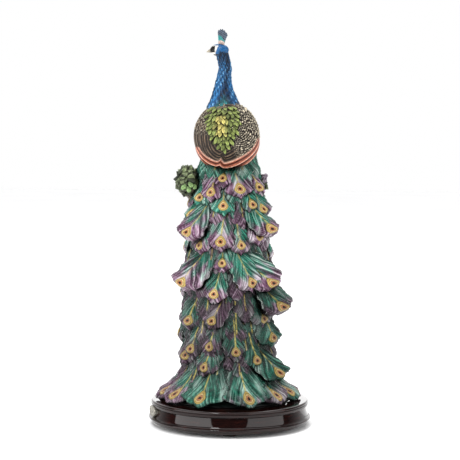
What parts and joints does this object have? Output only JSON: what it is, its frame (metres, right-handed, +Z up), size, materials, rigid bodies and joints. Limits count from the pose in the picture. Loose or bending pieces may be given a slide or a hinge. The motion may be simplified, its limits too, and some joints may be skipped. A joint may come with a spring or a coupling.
{
  "type": "peacock figurine",
  "caption": "Tall standing peacock figurine on a tree trunk, its tiered feather train hanging down the back to a round turned base with small feet and an oval badge.",
  "frame": {"origin": "centre of the base's footprint, on the surface that the feet stand on", "axes": "+Z up through the figure, -Y towards the side that the train hangs down, the side the picture shows, +X to the right as seen from there; the bird faces +Y and turns its head towards -X"},
  "size_m": [0.1778, 0.1778, 0.4316],
  "materials": {
    "painted_resin": "hand-painted satin resin in teal green, purple, gold and blue",
    "base": "near-black mahogany, high gloss lacquer",
    "foot": "dark stained, satin",
    "badge": "antiqued pewter tone, satin"
  },
  "bodies": {
    "root": {"peacock_figure": "painted_resin", "base": "base", "foot_front": "foot", "foot_right": "foot", "foot_back": "foot", "foot_left": "foot", "badge": "badge"}
  },
  "joints": []
}
